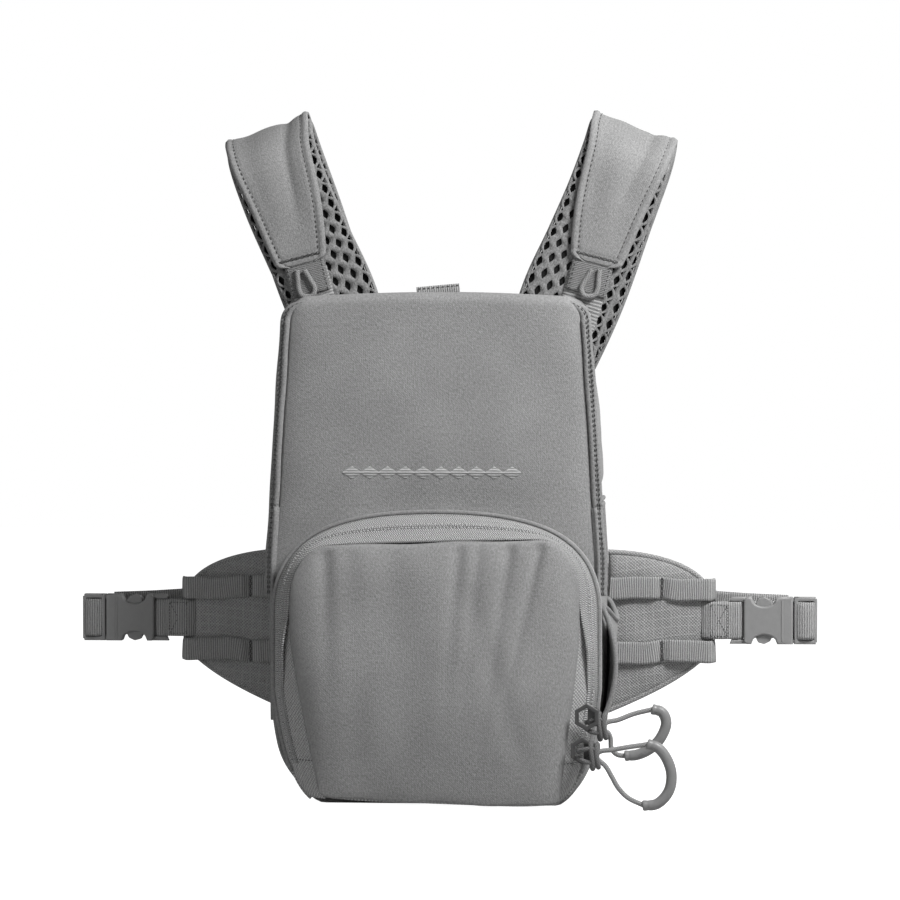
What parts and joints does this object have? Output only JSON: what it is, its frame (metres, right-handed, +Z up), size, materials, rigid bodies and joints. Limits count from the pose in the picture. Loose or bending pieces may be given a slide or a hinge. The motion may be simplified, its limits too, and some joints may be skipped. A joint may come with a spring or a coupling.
{
  "type": "binocular harness pack",
  "caption": "Chest pouch for binoculars with a forward-opening lid, a zipped front pocket, webbed side wings with release buckles and a mesh shoulder harness.",
  "frame": {"origin": "centre of the flat face of the chest pad, where it rests on the wearer", "axes": "+Y out of the chest pad towards the wearer, +Z up towards the shoulders, +X to the pack's left seen by the wearer and to the right seen from the front"},
  "size_m": [0.3774, 0.159, 0.3495],
  "materials": {
    "shell_fabric": "matte heathered stretch woven",
    "lining_fabric": "matte brushed knit",
    "oxford_fabric": "matte coarse oxford weave",
    "spacer_mesh": "open mesh over foam",
    "webbing": "woven nylon webbing",
    "cord": "braided cord",
    "zipper_metal": "dark satin coating",
    "magnet_sleeve": "magnets sewn in a fabric sleeve",
    "grip_plastic": "satin moulded plastic",
    "buckle_plastic": "satin moulded acetal"
  },
  "bodies": {
    "pack": {"main_shell": "shell_fabric", "back_panel": "spacer_mesh", "chest_pad": "spacer_mesh", "compartment_lining": "lining_fabric", "base_pad": "lining_fabric", "body_magnet_strip": "magnet_sleeve", "pocket_gusset": "oxford_fabric", "zipper_tape_fixed": "webbing", "zipper_coil": "buckle_plastic", "pocket_bottom": "oxford_fabric", "back_yoke": "spacer_mesh", "side_pocket_right": "shell_fabric", "side_pocket_left": "shell_fabric", "side_strap_right": "webbing", "side_strap_left": "webbing", "shoulder_strap_right": "spacer_mesh", "shoulder_strap_left": "spacer_mesh", "strap_cover_right": "shell_fabric", "strap_cover_left": "shell_fabric", "strap_webbing_right": "webbing", "strap_webbing_left": "webbing", "strap_patch_right": "oxford_fabric", "strap_patch_left": "oxford_fabric", "accessory_loop_right": "cord", "accessory_loop_left": "cord"},
    "lid": {"lid_shell": "shell_fabric", "lid_pull_tab": "webbing", "lid_magnet_strip": "magnet_sleeve", "lid_side_right": "shell_fabric", "lid_side_left": "shell_fabric"},
    "pocket_flap": {"zipper_tape_flap": "webbing", "pocket_front_panel": "shell_fabric", "flap_gusset_right": "oxford_fabric", "flap_gusset_left": "oxford_fabric"},
    "slider_upper": {"slider_upper": "zipper_metal"},
    "pull_tab_upper": {"pull_tab_upper": "zipper_metal"},
    "pull_upper": {"pull_cord_upper": "cord", "pull_grip_upper": "grip_plastic"},
    "slider_lower": {"slider_lower": "zipper_metal"},
    "pull_tab_lower": {"pull_tab_lower": "zipper_metal"},
    "pull_lower": {"pull_cord_lower": "cord", "pull_grip_lower": "grip_plastic"},
    "wing_left": {"wing_left": "shell_fabric", "pals_upper_left": "webbing", "pals_lower_left": "webbing", "buckle_webbing_left": "webbing", "buckle_female_left": "buckle_plastic"},
    "buckle_male_left": {"buckle_male_left": "buckle_plastic", "adjuster_loop_left": "webbing"},
    "latch_arm_upper_left": {"latch_arm_upper_left": "buckle_plastic"},
    "latch_arm_lower_left": {"latch_arm_lower_left": "buckle_plastic"},
    "wing_right": {"wing_right": "shell_fabric", "pals_upper_right": "webbing", "pals_lower_right": "webbing", "buckle_webbing_right": "webbing", "buckle_female_right": "buckle_plastic"},
    "buckle_male_right": {"buckle_male_right": "buckle_plastic", "adjuster_loop_right": "webbing"},
    "latch_arm_upper_right": {"latch_arm_upper_right": "buckle_plastic"},
    "latch_arm_lower_right": {"latch_arm_lower_right": "buckle_plastic"}
  },
  "joints": [
    {"name": "lid_hinge", "type": "hinge", "parent": "pack", "child": "lid", "pos_m": [0, -0.089, 0.043], "axis": [1, 0, 0], "range_deg": [0, 90]},
    {"name": "pocket_flap_hinge", "type": "hinge", "parent": "pack", "child": "pocket_flap", "pos_m": [0, -0.1145, -0.083], "axis": [1, 0, 0], "range_deg": [0, 60]},
    {"name": "slider_upper_slide", "type": "slide", "parent": "pocket_flap", "child": "slider_upper", "axis": [0, 0, 1], "range_m": [0, 0.045]},
    {"name": "pull_tab_upper_flip", "type": "hinge", "parent": "slider_upper", "child": "pull_tab_upper", "pos_m": [0.081, -0.11735, -0.058], "axis": [0, 0, 1], "range_deg": [0, 60]},
    {"name": "pull_upper_swing", "type": "hinge", "parent": "slider_upper", "child": "pull_upper", "pos_m": [0.0824, -0.115, -0.0615], "axis": [0, 1, 0], "range_deg": [-20, 25]},
    {"name": "slider_lower_slide", "type": "slide", "parent": "pocket_flap", "child": "slider_lower", "axis": [0, 0, 1], "range_m": [-0.006, 0]},
    {"name": "pull_tab_lower_flip", "type": "hinge", "parent": "slider_lower", "child": "pull_tab_lower", "pos_m": [0.079, -0.11735, -0.0745], "axis": [0, 0, 1], "range_deg": [0, 60]},
    {"name": "pull_lower_swing", "type": "hinge", "parent": "slider_lower", "child": "pull_lower", "pos_m": [0.0804, -0.1196, -0.078], "axis": [0, 1, 0], "range_deg": [-20, 25]},
    {"name": "wing_left_swing", "type": "hinge", "parent": "pack", "child": "wing_left", "pos_m": [-0.083, -0.0052, -0.018], "axis": [0, 0, -1], "range_deg": [-10, 60], "deforming": ["side_strap_left"]},
    {"name": "buckle_left_release", "type": "slide", "parent": "wing_left", "child": "buckle_male_left", "axis": [-1, 0, 0], "range_m": [0, 0.022], "deforming": ["latch_arm_upper_left", "latch_arm_lower_left", "side_strap_left"]},
    {"name": "latch_upper_left_press", "type": "hinge", "parent": "buckle_male_left", "child": "latch_arm_upper_left", "pos_m": [-0.171, -0.008, -0.0116], "axis": [0, 1, 0], "range_deg": [0, 11], "stiffness_Nm_per_rad": 0.3},
    {"name": "latch_lower_left_press", "type": "hinge", "parent": "buckle_male_left", "child": "latch_arm_lower_left", "pos_m": [-0.171, -0.008, -0.0244], "axis": [0, -1, 0], "range_deg": [0, 11], "stiffness_Nm_per_rad": 0.3},
    {"name": "wing_right_swing", "type": "hinge", "parent": "pack", "child": "wing_right", "pos_m": [0.083, -0.0052, -0.018], "axis": [0, 0, 1], "range_deg": [-10, 60], "deforming": ["side_strap_right"]},
    {"name": "buckle_right_release", "type": "slide", "parent": "wing_right", "child": "buckle_male_right", "axis": [1, 0, 0], "range_m": [0, 0.022], "deforming": ["latch_arm_upper_right", "latch_arm_lower_right", "side_strap_right"]},
    {"name": "latch_upper_right_press", "type": "hinge", "parent": "buckle_male_right", "child": "latch_arm_upper_right", "pos_m": [0.171, -0.008, -0.0116], "axis": [0, -1, 0], "range_deg": [0, 11], "stiffness_Nm_per_rad": 0.3},
    {"name": "latch_lower_right_press", "type": "hinge", "parent": "buckle_male_right", "child": "latch_arm_lower_right", "pos_m": [0.171, -0.008, -0.0244], "axis": [0, 1, 0], "range_deg": [0, 11], "stiffness_Nm_per_rad": 0.3}
  ],
  "couplings": [
    {"joint": "latch_lower_left_press", "follows": "latch_upper_left_press", "ratio": 1},
    {"joint": "latch_lower_right_press", "follows": "latch_upper_right_press", "ratio": 1}
  ]
}
